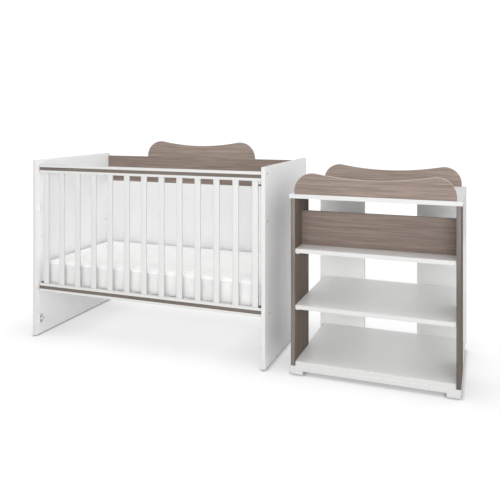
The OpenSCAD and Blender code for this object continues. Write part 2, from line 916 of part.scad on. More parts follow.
// Dowels between the uprights and the boards, the base and the feet, the shelf and the apron
module changer_dowels() {
    color(beech) place() {
        for (p = upright_dowels) {
            bar_z(p[0], p[1], post_z - blind_dowel, dowel_d, blind_dowel + dowel_l / 2);
            bar_z(p[0], p[1], post_top - dowel_l / 2, dowel_d, blind_dowel + dowel_l / 2);
        }
        for (x = apron_dowel_xs)
            bar_z(x, apron_y + board_t / 2, shelf_upper_top - board_t + blind_skin, dowel_d, dowel_l);
        for (x = foot_xs, y = foot_dowel_ys)
            bar_z(x + foot_w / 2, changer_y - base_lip + y, foot_h - foot_dowel_depth, dowel_d,
                  foot_dowel_depth + blind_dowel);
    }
}

module guard_dowels() {
    color(beech) place() for (x = guard_dowel_xs, y = [guard_front_y, changer_back_y])
        bar_z(x, y + board_t / 2, post_top + blind_skin, dowel_d, dowel_l);
}

module back_screws() {
    color(steel) place() for (p = back_screw_places()) {
        bar_y(p[0], changer_back_y - panel_screw_l + board_t, p[1], panel_screw_d, panel_screw_l);
        bar_y(p[0], changer_back_y + board_t - panel_screw_head_h, p[1],
              panel_screw_head_d, panel_screw_head_h);
    }
}

left_end_panel();
right_end_panel();
back_panel();
back_top_board();
crest_board();
back_dowels();
crest_dowels();
bearer_front();
bearer_back();
base_bars();
panel_bolts();
guide_bolts();
barrel_nuts();
cot_glides();
rod_guides();
gate_rests();
rest_screws();
gate_top_rail();
gate_top_stripe();
gate_bottom_rail();
gate_bottom_stripe();
for (i = [1:slat_n])
    gate_slat(i);
gate_rod_left();
gate_rod_right();
gate_rings();
gate_collars();
catch_ring();
mattress();
foot_left();
foot_right();
base_board();
post_left();
post_right();
changer_back_left();
changer_back_right();
shelf_bottom();
shelf_middle();
shelf_upper();
apron();
top_board();
front_guard();
back_guard();
shelf_supports();
changer_dowels();
guard_dowels();
back_screws();
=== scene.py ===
# %% [markdown]
# # A two-tone cot and its changing table
#
# The frame holds every board, bolt and slat at its real size. This script dresses
# that frame: it eases the edges of the boards, gives each one its laminate, makes the
# quilted mattress, and sets up a pale studio with the camera of the reference view.
# All lengths are in metres, and X runs along the cot, Y from its gate to its back.

# %% Load the frame
import json
import math

import bmesh
import bpy
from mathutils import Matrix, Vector, noise
from mathutils.bvhtree import BVHTree

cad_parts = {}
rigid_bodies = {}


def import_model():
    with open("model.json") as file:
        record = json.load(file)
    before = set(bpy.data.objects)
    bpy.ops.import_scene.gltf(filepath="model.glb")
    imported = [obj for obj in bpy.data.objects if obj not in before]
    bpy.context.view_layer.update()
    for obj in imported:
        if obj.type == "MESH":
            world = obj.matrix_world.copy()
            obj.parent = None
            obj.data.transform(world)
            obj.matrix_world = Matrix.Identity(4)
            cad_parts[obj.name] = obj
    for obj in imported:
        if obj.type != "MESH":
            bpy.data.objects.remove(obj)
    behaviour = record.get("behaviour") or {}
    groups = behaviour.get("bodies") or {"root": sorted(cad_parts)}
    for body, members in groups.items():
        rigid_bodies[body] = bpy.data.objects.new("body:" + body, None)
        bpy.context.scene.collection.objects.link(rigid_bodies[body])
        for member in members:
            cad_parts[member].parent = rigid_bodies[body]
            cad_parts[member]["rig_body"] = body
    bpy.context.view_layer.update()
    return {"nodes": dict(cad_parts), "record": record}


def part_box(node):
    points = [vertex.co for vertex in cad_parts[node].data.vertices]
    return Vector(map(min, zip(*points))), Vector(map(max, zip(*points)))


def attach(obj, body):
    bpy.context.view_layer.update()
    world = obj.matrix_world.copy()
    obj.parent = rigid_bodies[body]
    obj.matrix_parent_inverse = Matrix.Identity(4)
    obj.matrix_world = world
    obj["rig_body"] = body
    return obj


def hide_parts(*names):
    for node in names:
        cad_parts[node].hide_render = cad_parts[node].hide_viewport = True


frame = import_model()
MM = 0.001
NODES = frame["nodes"]
BODY_OF = {node: obj["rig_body"] for node, obj in NODES.items()}
COLLECTION = bpy.context.scene.collection

# %% [markdown]
# ## The camera
#
# The reference view is a level camera a little over a metre above the floor, turned
# towards the cot's left end. A level camera keeps upright edges upright, and a lens
# shift, not a tilt, brings the furniture into the middle of the picture.

# %% Camera
CAMERA_PLACE = (1.1001, -2.8758, 1.1043)
CAMERA_TURN = math.radians(20.61)
CAMERA_LENS_MM = 44.79
CAMERA_SHIFT_UP = -0.268

camera_data = bpy.data.cameras.new("studio_camera")
camera_data.lens = CAMERA_LENS_MM
camera_data.sensor_width = 36.0
camera_data.shift_y = CAMERA_SHIFT_UP
camera = bpy.data.objects.new("studio_camera", camera_data)
camera.location = CAMERA_PLACE
camera.rotation_euler = (math.radians(90), 0.0, CAMERA_TURN)
COLLECTION.objects.link(camera)
bpy.context.scene.camera = camera
bpy.context.scene.view_settings.view_transform = "Standard"
print("camera at", CAMERA_PLACE, "lens", CAMERA_LENS_MM, "mm")

# %% [markdown]
# ## Small tools for node trees
#
# A material is a tree of nodes. These helpers add a node, set its plain values and
# connect sockets, so that each material below reads as a short recipe.

# %% Node tree helpers
def add_node(tree, kind, **values):
    node = tree.nodes.new(kind)
    for name, value in values.items():
        if name in node.inputs:
            node.inputs[name].default_value = value
        else:
            setattr(node, name, value)
    return node


def connect(tree, *pairs):
    for source, target in pairs:
        tree.links.new(source, target)


def colour_ramp(tree, factor, *stops):
    ramp = add_node(tree, "ShaderNodeValToRGB")
    elements = ramp.color_ramp.elements
    while len(elements) < len(stops):
        elements.new(0.5)
    for element, (place, colour) in zip(elements, stops):
        element.position = place
        element.color = colour
    tree.links.new(factor, ramp.inputs["Fac"])
    return ramp.outputs["Color"]


def linear(red, green, blue):
    """A colour given as 0 to 255 on the screen, as the shader's own linear values."""
    def one(value):
        c = value / 255
        return c / 12.92 if c <= 0.04045 else ((c + 0.055) / 1.055) ** 2.4
    return (one(red), one(green), one(blue), 1.0)


def grey(value):
    return (value, value, value, 1.0)


print("node helpers ready")

# %% [markdown]
# ## Long grain, shared by every wood finish
#
# Printed oak decor has two layers: broad cloudy bands, and thin dark and light streaks
# that run along the board. Both are noise that is stretched along the grain. The
# effect is a node group, so that the decor, its darker stripe and the bare beech
# can use it with their own colours. It reads a vector that already has the grain
# along X.

# %% The long grain group
PORE_START, PORE_FULL = 0.56, 0.70
CLOUD_STRETCH = (0.45, 0.12, 0.12)


def make_grain_group():
    tree = bpy.data.node_groups.new("long_grain", "ShaderNodeTree")
    for name, kind, default in (
        ("Vector", "NodeSocketVector", None),
        ("Streak Width", "NodeSocketFloat", 2.0 * MM),
        ("Streak Length", "NodeSocketFloat", 200 * MM),
        ("Cloud", "NodeSocketFloat", 0.5),
    ):
        socket = tree.interface.new_socket(name, in_out="INPUT", socket_type=kind)
        if default is not None:
            socket.default_value = default
    tree.interface.new_socket("Mask", in_out="OUTPUT", socket_type="NodeSocketFloat")
    tree.interface.new_socket("Pore", in_out="OUTPUT", socket_type="NodeSocketFloat")
    inside = add_node(tree, "NodeGroupInput")
    outside = add_node(tree, "NodeGroupOutput")

    along = add_node(tree, "ShaderNodeMath", operation="DIVIDE")
    along.inputs[0].default_value = 1.0
    across = add_node(tree, "ShaderNodeMath", operation="DIVIDE")
    across.inputs[0].default_value = 1.0
    stretch = add_node(tree, "ShaderNodeCombineXYZ")
    scaled = add_node(tree, "ShaderNodeVectorMath", operation="MULTIPLY")
    connect(
        tree,
        (inside.outputs["Streak Length"], along.inputs[1]),
        (inside.outputs["Streak Width"], across.inputs[1]),
        (along.outputs[0], stretch.inputs["X"]),
        (across.outputs[0], stretch.inputs["Y"]),
        (across.outputs[0], stretch.inputs["Z"]),
        (inside.outputs["Vector"], scaled.inputs[0]),
        (stretch.outputs[0], scaled.inputs[1]),
    )
    streaks = add_node(tree, "ShaderNodeTexNoise", Scale=1.0, Detail=5.0, Roughness=0.72)
    coarse = add_node(tree, "ShaderNodeVectorMath", operation="MULTIPLY")
    coarse.inputs[1].default_value = CLOUD_STRETCH
    clouds = add_node(tree, "ShaderNodeTexNoise", Scale=1.0, Detail=3.0, Roughness=0.6,
                      Distortion=0.25)
    mixed = add_node(tree, "ShaderNodeMix")
    connect(
        tree,
        (scaled.outputs[0], streaks.inputs["Vector"]),
        (scaled.outputs[0], coarse.inputs[0]),
        (coarse.outputs[0], clouds.inputs["Vector"]),
        (inside.outputs["Cloud"], mixed.inputs["Factor"]),
        (streaks.outputs["Fac"], mixed.inputs["A"]),
        (clouds.outputs["Fac"], mixed.inputs["B"]),
        (mixed.outputs["Result"], outside.inputs["Mask"]),
    )
    pores = add_node(tree, "ShaderNodeMapRange")
    pores.inputs["From Min"].default_value = PORE_START
    pores.inputs["From Max"].default_value = PORE_FULL
    connect(
        tree,
        (streaks.outputs["Fac"], pores.inputs["Value"]),
        (pores.outputs["Result"], outside.inputs["Pore"]),
    )
    return tree


LONG_GRAIN = make_grain_group()
print("group", LONG_GRAIN.name, "has", len(LONG_GRAIN.nodes), "nodes")

# %% [markdown]
# ## Wood decor along any axis
#
# The back's top board, the crest, the guards and the apron have their grain along X, and the posts
# along Z. Object coordinates are turned with a Mapping node so that the grain group always sees the
# grain along its own X. A small offset for each board starts the pattern at another place, as
# boards cut from different sheets do, and a shade factor makes one board lighter or darker than the
# next: partly its own tone, and partly painted shade and painted highlight, as set out with the
# wood-coloured boards.

# %% Wood finishes
TURN_OF_GRAIN = {"X": (0.0, 0.0, 0.0), "Z": (0.0, math.radians(90), 0.0)}
TONE_PLACES = (0.37, 0.50, 0.63)
DECOR_TONES = ((122, 109, 102), (146, 131, 122), (171, 155, 145))
PORE_DEPTH = 0.05 * MM


def wood_material(name, grain_axis, tones, offset, streak=2.0 * MM, length=200 * MM,
                  cloud=0.20, roughness=0.60, specular=0.08):
    material = bpy.data.materials.new(name)
    material.use_nodes = True
    tree = material.node_tree
    shader = tree.nodes["Principled BSDF"]
    shader.inputs["Specular IOR Level"].default_value = specular
    place = add_node(tree, "ShaderNodeTexCoord")
    turn = add_node(tree, "ShaderNodeMapping")
    turn.inputs["Location"].default_value = offset
    turn.inputs["Rotation"].default_value = TURN_OF_GRAIN[grain_axis]
    grain = add_node(tree, "ShaderNodeGroup")
    grain.node_tree = LONG_GRAIN
    grain.inputs["Streak Width"].default_value = streak
    grain.inputs["Streak Length"].default_value = length
    grain.inputs["Cloud"].default_value = cloud
    connect(
        tree,
        (place.outputs["Object"], turn.inputs["Vector"]),
        (turn.outputs["Vector"], grain.inputs["Vector"]),
    )
    colour = colour_ramp(tree, grain.outputs["Mask"], *zip(TONE_PLACES, tones))
    gloss = add_node(tree, "ShaderNodeMapRange")
    gloss.inputs["To Min"].default_value = roughness - 0.05
    gloss.inputs["To Max"].default_value = roughness + 0.08
    bump = add_node(tree, "ShaderNodeBump", Strength=0.35, Distance=PORE_DEPTH)
    connect(
        tree,
        (colour, shader.inputs["Base Color"]),
        (grain.outputs["Mask"], gloss.inputs["Value"]),
        (gloss.outputs["Result"], shader.inputs["Roughness"]),
        (grain.outputs["Pore"], bump.inputs["Height"]),
        (bump.outputs["Normal"], shader.inputs["Normal"]),
    )
    return material


def shaded(colour, shade):
    return (*(channel * shade for channel in colour[:3]), 1.0)


def decor(name, grain_axis, offset, shade, **finish):
    tones = [shaded(linear(*tone), shade) for tone in DECOR_TONES]
    return wood_material(name, grain_axis, tones, offset, **finish)


print("wood finishes ready")

# %% [markdown]
# ## White laminate
#
# The white boards are chipboard under a satin melamine skin. From near it isn't flat:
# it has a very fine, shallow emboss, and its gloss changes a little from place to
# place. The emboss is a fine noise in the Bump node, and a larger, weaker noise
# moves the roughness and the tint. Lacquer, paint, plastic and coated steel differ
# from it only in colour, gloss and grain, so the same group serves them all.

# %% The satin skin group
def make_skin_group():
    tree = bpy.data.node_groups.new("satin_skin", "ShaderNodeTree")
    for name, default in (("Grain Size", 0.9 * MM), ("Tint Change", 0.02)):
        socket = tree.interface.new_socket(name, in_out="INPUT", socket_type="NodeSocketFloat")
        socket.default_value = default
    for name in ("Height", "Gloss", "Tint"):
        tree.interface.new_socket(name, in_out="OUTPUT", socket_type="NodeSocketFloat")
    inside = add_node(tree, "NodeGroupInput")
    outside = add_node(tree, "NodeGroupOutput")
    place = add_node(tree, "ShaderNodeTexCoord")
    count = add_node(tree, "ShaderNodeMath", operation="DIVIDE")
    count.inputs[0].default_value = 1.0
    emboss = add_node(tree, "ShaderNodeTexNoise", Detail=2.0, Roughness=0.5)
    drift = add_node(tree, "ShaderNodeTexNoise", Scale=5.0, Detail=2.0)
    tint = add_node(tree, "ShaderNodeMath", operation="MULTIPLY_ADD")
    tint.inputs[2].default_value = 1.0
    centred = add_node(tree, "ShaderNodeMath", operation="SUBTRACT")
    centred.inputs[1].default_value = 0.5
    connect(
        tree,
        (place.outputs["Object"], emboss.inputs["Vector"]),
        (place.outputs["Object"], drift.inputs["Vector"]),
        (inside.outputs["Grain Size"], count.inputs[1]),
        (count.outputs[0], emboss.inputs["Scale"]),
        (emboss.outputs["Fac"], outside.inputs["Height"]),
        (drift.outputs["Fac"], outside.inputs["Gloss"]),
        (drift.outputs["Fac"], centred.inputs[0]),
        (centred.outputs[0], tint.inputs[0]),
        (inside.outputs["Tint Change"], tint.inputs[1]),
        (tint.outputs[0], outside.inputs["Tint"]),
    )
    return tree


SATIN_SKIN = make_skin_group()
print("group", SATIN_SKIN.name, "has", len(SATIN_SKIN.nodes), "nodes")

# %% [markdown]
# ## A finish for every white, dark and metal piece
#
# Each row below is one finish of the real set: its colour on the screen, how rough it
# is, and the size and depth of its grain in millimetres. An edge band is smoother than
# a board's skin, lacquer and paint have a coarser grain than plastic, and zinc is the
# only bright metal. The darker stripe in the rails is decor like the boards, and the
# hidden dowels are bare beech, so both come from the wood recipe. One function for
# all of them keeps the node trees alike, so that only the values differ.

# %% The skin finishes
def skin_material(name, screen_colour, roughness, grain_mm, emboss_mm, spread=0.06,
                  metallic=0.0, specular=0.5):
    material = bpy.data.materials.new(name)
    material.use_nodes = True
    tree = material.node_tree
    shader = tree.nodes["Principled BSDF"]
    shader.inputs["Metallic"].default_value = metallic
    shader.inputs["Specular IOR Level"].default_value = specular
    skin = add_node(tree, "ShaderNodeGroup")
    skin.node_tree = SATIN_SKIN
    skin.inputs["Grain Size"].default_value = grain_mm * MM
    tinted = add_node(tree, "ShaderNodeVectorMath", operation="SCALE")
    tinted.inputs[0].default_value = linear(*screen_colour)[:3]
    gloss = add_node(tree, "ShaderNodeMapRange")
    gloss.inputs["To Min"].default_value = roughness - spread
    gloss.inputs["To Max"].default_value = roughness + spread
    bump = add_node(tree, "ShaderNodeBump", Strength=0.25, Distance=emboss_mm * MM)
    connect(
        tree,
        (skin.outputs["Tint"], tinted.inputs["Scale"]),
        (tinted.outputs["Vector"], shader.inputs["Base Color"]),
        (skin.outputs["Gloss"], gloss.inputs["Value"]),
        (gloss.outputs["Result"], shader.inputs["Roughness"]),
        (skin.outputs["Height"], bump.inputs["Height"]),
        (bump.outputs["Normal"], shader.inputs["Normal"]),
    )
    return material


COT_LAMINATE = skin_material("cot_laminate", (249, 249, 250), 0.38, 0.9, 0.03)
# The grey of this band is partly painted shade on the front edges, which the lamps light more than
# the faces.
COT_BAND_AND_PAINTED_SHADE = skin_material("cot_edge_band_and_painted_shade", (211, 211, 210), 0.42, 1.4, 0.008, spread=0.03)
TABLE_LAMINATE = skin_material("table_laminate", (243, 243, 242), 0.40, 0.9, 0.03)
# The next three whites are painted shade: the table's right back panel behind the post, the table's
# top between its guards, the cot's back panel behind the slats.
REAR_LAMINATE_PAINTED_SHADE = skin_material("table_rear_laminate_painted_shade", (222, 222, 221), 0.42, 0.9, 0.03)
TOP_LAMINATE_PAINTED_SHADE = skin_material("table_top_laminate_painted_shade", (224, 224, 224), 0.62, 0.9, 0.03, specular=0.02)
BACK_LAMINATE_PAINTED_SHADE = skin_material("cot_back_laminate_painted_shade", (237, 237, 238), 0.42, 0.9, 0.03)
# The grey of this band is partly painted shade on the front edges, as with the cot's band.
TABLE_BAND_AND_PAINTED_SHADE = skin_material("table_edge_band_and_painted_shade", (205, 205, 204), 0.42, 1.4, 0.008, spread=0.03)
# The gate's white is partly painted shade: the front lamps light the gate more than the boards
# behind it.
GATE_LACQUER_AND_PAINTED_SHADE = skin_material("gate_lacquer_and_painted_shade", (210, 210, 209), 0.44, 1.6, 0.04)
WHITE_PLASTIC = skin_material("white_plastic", (214, 214, 213), 0.42, 0.6, 0.04)
DARK_PLASTIC = skin_material("dark_plastic", (52, 50, 49), 0.45, 0.6, 0.05)
DARK_STEEL = skin_material("dark_steel", (132, 132, 134), 0.38, 0.8, 0.02, metallic=0.4)
ZINC_STEEL = skin_material("zinc_steel", (190, 192, 196), 0.32, 1.2, 0.02, metallic=1.0)
WHITE_COAT = skin_material("white_powder_coat", (228, 228, 227), 0.36, 0.7, 0.04)
WHITE_PAINT = skin_material("white_paint", (240, 240, 238), 0.45, 1.6, 0.05)
STRIPE_DECOR = wood_material(
    "stripe_decor", "X", [linear(98, 90, 84), linear(113, 104, 97), linear(128, 118, 111)],
    (0.3, 0.1, 0.7))
BEECH = wood_material(
    "beech", "X", [linear(196, 160, 118), linear(212, 178, 136), linear(224, 194, 154)],
    (0.0, 0.0, 0.0), length=50 * MM, roughness=0.55)
print("finishes:", [m.name for m in bpy.data.materials])

# %% [markdown]
# ## Mattress fabric
#
# The cover is a fine white knit. Its loops stand in rows about a millimetre and a half
# apart, too small to see from across a room, but they break up the shine and give the
# cloth its soft edge. Two wave textures crossed at right angles make the rows, and
# the shader's sheen stands for the fuzz. A wave texture repeats every 0.31 m at a
# scale of one, so that length over the loop's size gives its scale. The knit is a
# node group, because the mattress's border and its piping use it with smaller loops.

# %% The knit group
WAVE_PERIOD = 0.31


def make_knit_group():
    tree = bpy.data.node_groups.new("fine_knit", "ShaderNodeTree")
    tree.interface.new_socket("Vector", in_out="INPUT", socket_type="NodeSocketVector")
    size = tree.interface.new_socket("Loop Size", in_out="INPUT", socket_type="NodeSocketFloat")
    size.default_value = 1.5 * MM
    for name in ("Height", "Tint"):
        tree.interface.new_socket(name, in_out="OUTPUT", socket_type="NodeSocketFloat")
    inside = add_node(tree, "NodeGroupInput")
    outside = add_node(tree, "NodeGroupOutput")
    count = add_node(tree, "ShaderNodeMath", operation="DIVIDE")
    count.inputs[0].default_value = WAVE_PERIOD
    connect(tree, (inside.outputs["Loop Size"], count.inputs[1]))
    height = add_node(tree, "ShaderNodeMath", operation="MULTIPLY")
    for place, axis in enumerate(("X", "Y")):
        rows = add_node(tree, "ShaderNodeTexWave", wave_type="BANDS", bands_direction=axis,
                        Distortion=0.6)
        connect(
            tree,
            (inside.outputs["Vector"], rows.inputs["Vector"]),
            (count.outputs[0], rows.inputs["Scale"]),
            (rows.outputs["Fac"], height.inputs[place]),
        )
    wear = add_node(tree, "ShaderNodeTexNoise", Scale=9.0, Detail=3.0)
    connect(
        tree,
        (inside.outputs["Vector"], wear.inputs["Vector"]),
        (wear.outputs["Fac"], outside.inputs["Tint"]),
        (height.outputs[0], outside.inputs["Height"]),
    )
    return tree


FINE_KNIT = make_knit_group()
print("group", FINE_KNIT.name, "has", len(FINE_KNIT.nodes), "nodes")

# %% [markdown]
# ## Three fabrics from one knit
#
# The quilted faces, the border round the sides and the piping are the same yarn knitted more or
# less closely. A slow noise moves each one between two near whites, as washing does. The border's
# whites are lower, partly as painted shade on the upright sides. The cloth is rough all over and
# has hardly any shine of its own.

# %% The three fabrics
def fabric_material(name, shadow, light, loop_mm):
    material = bpy.data.materials.new(name)
    material.use_nodes = True
    tree = material.node_tree
    shader = tree.nodes["Principled BSDF"]
    shader.inputs["Roughness"].default_value = 0.92
    shader.inputs["Specular IOR Level"].default_value = 0.25
    shader.inputs["Sheen Weight"].default_value = 0.12
    shader.inputs["Sheen Roughness"].default_value = 0.5
    place = add_node(tree, "ShaderNodeTexCoord")
    knit = add_node(tree, "ShaderNodeGroup")
    knit.node_tree = FINE_KNIT
    knit.inputs["Loop Size"].default_value = loop_mm * MM
    bump = add_node(tree, "ShaderNodeBump", Strength=0.4, Distance=0.15 * MM)
    connect(
        tree,
        (place.outputs["Object"], knit.inputs["Vector"]),
        (knit.outputs["Height"], bump.inputs["Height"]),
        (bump.outputs["Normal"], shader.inputs["Normal"]),
    )
    stops = ((0.35, linear(*shadow)), (0.62, linear(*light)))
    colour = colour_ramp(tree, knit.outputs["Tint"], *stops)
    connect(tree, (colour, shader.inputs["Base Color"]))
    return material


COVER_FABRIC = fabric_material("quilted_cover", (248, 248, 248), (253, 253, 252), 1.5)
BORDER_FABRIC_AND_PAINTED_SHADE = fabric_material("border_fabric_and_painted_shade", (219, 219, 219), (228, 228, 227), 1.1)
PIPING_FABRIC = fabric_material("cover_piping", (244, 244, 243), (250, 250, 249), 0.9)
print("fabrics:", COVER_FABRIC.name, BORDER_FABRIC_AND_PAINTED_SHADE.name, PIPING_FABRIC.name)

# %% [markdown]
# ## Boards with eased edges
#
# No board has a knife edge: the edge band is trimmed to a small radius, and that
# radius is what catches the light along a board. The frame's boards are exact, with
# sharp edges, so each one is copied, its loose triangles are merged into whole faces,
# and the outer edges get a bevel. Edges round bolt and dowel holes stay as they are.
# An outer edge is one whose middle lies on two faces of the board's own box; on a
# curved board it is any sharp edge of the front or back face, because the dowels of
# those boards sit in their lower edge.

# %% Which edges to ease
TOUCH = 0.02 * MM
RIM_ANGLE = math.radians(60)


def box_faces_met(point, low, high):
    return sum(abs(point[i] - side[i]) < TOUCH for i in range(3) for side in (low, high))


def outer_edges(bm, low, high):
    return [e for e in bm.edges
            if box_faces_met((e.verts[0].co + e.verts[1].co) / 2, low, high) >= 2]


def rim_edges(bm, low, high):
    """Edges round a curved board's front and back faces."""
    found = []
    for e in bm.edges:
        if len(e.link_faces) != 2:
            continue
        middle = (e.verts[0].co + e.verts[1].co) / 2
        on_face = min(abs(middle.y - low.y), abs(middle.y - high.y)) < TOUCH
        if on_face and e.calc_face_angle(0.0) > RIM_ANGLE:
            found.append(e)
    return found


print("edges are found to within", TOUCH / MM, "mm")

# %% [markdown]
# ## The board maker
#
# The copy is welded and its flat triangles dissolved, so that a bevel runs along whole edges.
# Shading is smooth, with the true corners marked sharp. Then a board's narrow faces may take the
# finish of its edge band. The frame's own node is hidden, and the board rides on the same body, so
# that it moves with it.

# %% The board maker
EDGE_RADIUS = 0.9 * MM
CURVE_RADIUS = 2.0 * MM
SHARP_ANGLE = math.radians(20)
FLAT_ANGLE = math.radians(0.4)
WELD = 0.01 * MM


def finish_mesh(bm, name, material):
    for face in bm.faces:
        face.smooth = True
    for edge in bm.edges:
        edge.smooth = edge.is_manifold and edge.calc_face_angle(0.0) < SHARP_ANGLE
    mesh = bpy.data.meshes.new(name)
    bm.to_mesh(mesh)
    bm.free()
    mesh.materials.append(material)
    piece = bpy.data.objects.new(name, mesh)
    COLLECTION.objects.link(piece)
    return piece


def band_narrow_faces(piece, low, high, band):
    """Give a board's narrow outer faces the finish of its edge band."""
    thin = min(range(3), key=lambda i: high[i] - low[i])
    piece.data.materials.append(band)
    for face in piece.data.polygons:
        if abs(face.normal[thin]) < 0.5:
            face.material_index = 1


def eased_board(node, material, band=None, radius=EDGE_RADIUS, pick=outer_edges, segments=2):
    low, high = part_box(node)
    bm = bmesh.new()
    bm.from_mesh(NODES[node].data)
    bmesh.ops.remove_doubles(bm, verts=bm.verts, dist=WELD)
    bmesh.ops.dissolve_limit(bm, angle_limit=FLAT_ANGLE, verts=bm.verts, edges=bm.edges)
    bmesh.ops.bevel(bm, geom=pick(bm, low, high), offset=radius, offset_type="OFFSET",
                    affect="EDGES", segments=segments, profile=0.5, material=-1, clamp_overlap=True)
    piece = finish_mesh(bm, node + "_board", material)
    if band:
        band_narrow_faces(piece, low, high, band)
    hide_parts(node)
    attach(piece, BODY_OF[node])
    return piece


SLOT_OF = {row["node"]: row["material_slot"] for row in frame["record"]["subparts"]}
print("board maker ready; edge radius", EDGE_RADIUS / MM, "mm")

# %% [markdown]
# ## The white boards
#
# End panels, back panel, shelves, the table's top, base and back panels, and the two runners that
# it stands on. The skin covers only a board's wide faces. The raw chipboard of its narrow faces is
# closed with an edge band, a strip of plastic that is ironed on, and such a strip never has quite
# the white of the skin. Here it is clearly greyer: partly the band's own colour, and partly painted
# shade on the front edges, which the lamps light more than the faces. A second material on the
# narrow faces gives that. The boards come from several sheets, so their whites differ a little too.
# The cot's back panel behind the slats, the table's right back panel behind the post and the
# table's top between its guards are greyer still, as painted shade, and the top also has a duller
# skin than the rest.

# %% White boards
END_PANELS = ("left_end_panel", "right_end_panel")
TABLE_BOARDS = ("base_board", "shelf_bottom", "shelf_middle", "shelf_upper",
                "changer_back_left", "foot_left", "foot_right")
for boards, skin, band in (
    (END_PANELS, COT_LAMINATE, COT_BAND_AND_PAINTED_SHADE),
    (("back_panel",), BACK_LAMINATE_PAINTED_SHADE, COT_BAND_AND_PAINTED_SHADE),
    (TABLE_BOARDS, TABLE_LAMINATE, TABLE_BAND_AND_PAINTED_SHADE),
    (("top_board",), TOP_LAMINATE_PAINTED_SHADE, TABLE_BAND_AND_PAINTED_SHADE),
    (("changer_back_right",), REAR_LAMINATE_PAINTED_SHADE, TABLE_BAND_AND_PAINTED_SHADE),
):
    for node in boards:
        piece = eased_board(node, skin, band)
        print(piece.name, len(piece.data.polygons), "faces")

# %% [markdown]
# ## The wood-coloured boards
#
# The curved boards are rounded more than the straight ones, since a hand reaches over them, and the
# bevel runs round their whole outline. Each board gets its own copy of the decor, so that no two
# show the same streaks. Each row of the table gives a board a factor for its faces and one for its
# edge band. Beside each board's own tone, these hold painted light: the apron under the top board
# and the posts, the right one most, are darker as painted shade, and the curved boards' bands are
# lighter as a painted highlight. The wide faces are matt; the edge band is smoother plastic and
# shines at a flat angle, and with its painted highlight it draws the pale line along the tops of
# the curves.

# %% Wood-coloured boards
CURVED_BOARDS = ("crest_board", "front_guard", "back_guard")
UPRIGHT_BOARDS = ("post_left", "post_right")
# Factors for faces and band: each board's tone, with painted shade on the apron and posts and a
# painted highlight on the curved bands.
TONE_AND_PAINTED_LIGHT_OF_BOARD = {
    "crest_board": (1.01, 1.2),
    "front_guard": (0.87, 1.8),
    "back_guard": (1.10, 1.4),
    "back_top_board": (0.85, 1.0),
    "apron": (0.73, 0.95),
    "post_left": (0.56, 0.53),
    "post_right": (0.36, 0.38),
}
PATTERN_STEP = (0.37, 0.11, 0.23)
CURVED_BAND = {"roughness": 0.24, "specular": 1.0}
STRAIGHT_BAND = {"roughness": 0.32, "specular": 0.5}
for number, (node, (face_tone_and_painted_shade, band_tone_and_painted_light)) in enumerate(TONE_AND_PAINTED_LIGHT_OF_BOARD.items()):
    axis = "Z" if node in UPRIGHT_BOARDS else "X"
    start = tuple(step * number for step in PATTERN_STEP)
    curved = node in CURVED_BOARDS
    finish = decor("decor_" + node, axis, start, face_tone_and_painted_shade)
    band_finish = CURVED_BAND if curved else STRAIGHT_BAND
    band = decor("band_" + node, axis, start, band_tone_and_painted_light, **band_finish)
    radius, pick = (CURVE_RADIUS, rim_edges) if curved else (EDGE_RADIUS, outer_edges)
    piece = eased_board(node, finish, band, radius, pick, segments=3)
    print(piece.name, len(piece.data.polygons), "faces, grain along", axis)

# %% [markdown]
# ## The gate
#
# Rails and slats are solid wood under white lacquer, not laminated board, so they have a finish of
# their own and no edge band. Its white is lower than the boards', partly as painted shade on the
# gate, which the front lamps light more than the boards behind it. Slats are planed much rounder
# than the boards, so that a small hand meets no edge. Each rail holds a strip of the darker decor
# in a groove.

# %% Gate
SLAT_RADIUS = 4.5 * MM
SLAT_STEPS = 4
RAIL_RADIUS = 1.2 * MM
for node in ("gate_top_rail", "gate_bottom_rail"):
    eased_board(node, GATE_LACQUER_AND_PAINTED_SHADE, radius=RAIL_RADIUS)
slats = sorted(n for n in NODES if n.startswith("gate_slat_"))
for node in slats:
    eased_board(node, GATE_LACQUER_AND_PAINTED_SHADE, radius=SLAT_RADIUS, segments=SLAT_STEPS)
print("gate with", len(slats), "slats")

# %% [markdown]
# ## The mattress
#
# A cot mattress is a block of foam in a quilted cover. The foam pushes the cover out,
# so the walls are never quite flat. That could be sculpted by hand, but cloth with
# air pressure inside finds the same soft shape by itself. The frame's plain mattress
# is copied and made a little smaller, remeshed into even squares, and blown up for
# twenty frames. A cap on how far each point may move keeps it a mattress and not a
# balloon, and it stays inside the room that the frame gives it.

# %% The core in even squares
VOXEL = 9 * MM
CORE_SHRINK = 2.5 * MM


def baked_mesh(obj):
    graph = bpy.context.evaluated_depsgraph_get()
    return bpy.data.meshes.new_from_object(obj.evaluated_get(graph), depsgraph=graph)


def bake_modifiers(obj):
    mesh = baked_mesh(obj)
    obj.modifiers.clear()
    obj.data = mesh


def mattress_core():
    bm = bmesh.new()
    bm.from_mesh(NODES["mattress"].data)
    bmesh.ops.remove_doubles(bm, verts=bm.verts, dist=WELD)
    bm.normal_update()
    for vert in bm.verts:
        vert.co -= vert.normal * CORE_SHRINK
    core = finish_mesh(bm, "mattress_cover", COVER_FABRIC)
    remesh = core.modifiers.new("even_squares", "REMESH")
    remesh.mode = "VOXEL"
    remesh.voxel_size = VOXEL
    bake_modifiers(core)
    return core


MATTRESS_LOW, MATTRESS_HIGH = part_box("mattress")
mattress = mattress_core()
print("mattress core:", len(mattress.data.vertices), "points")

# %% [markdown]
# ## Air in the cover
#
# Foam presses on a sewn cover evenly, as air does. The cloth has no weight here, so only the
# pressure shapes it. The simulation runs frame by frame and its last state is kept as a plain mesh.

# %% Swell the core
SWELL_CAP = 6 * MM
SWELL_FRAMES = 20
AIR_PRESSURE = 4.0


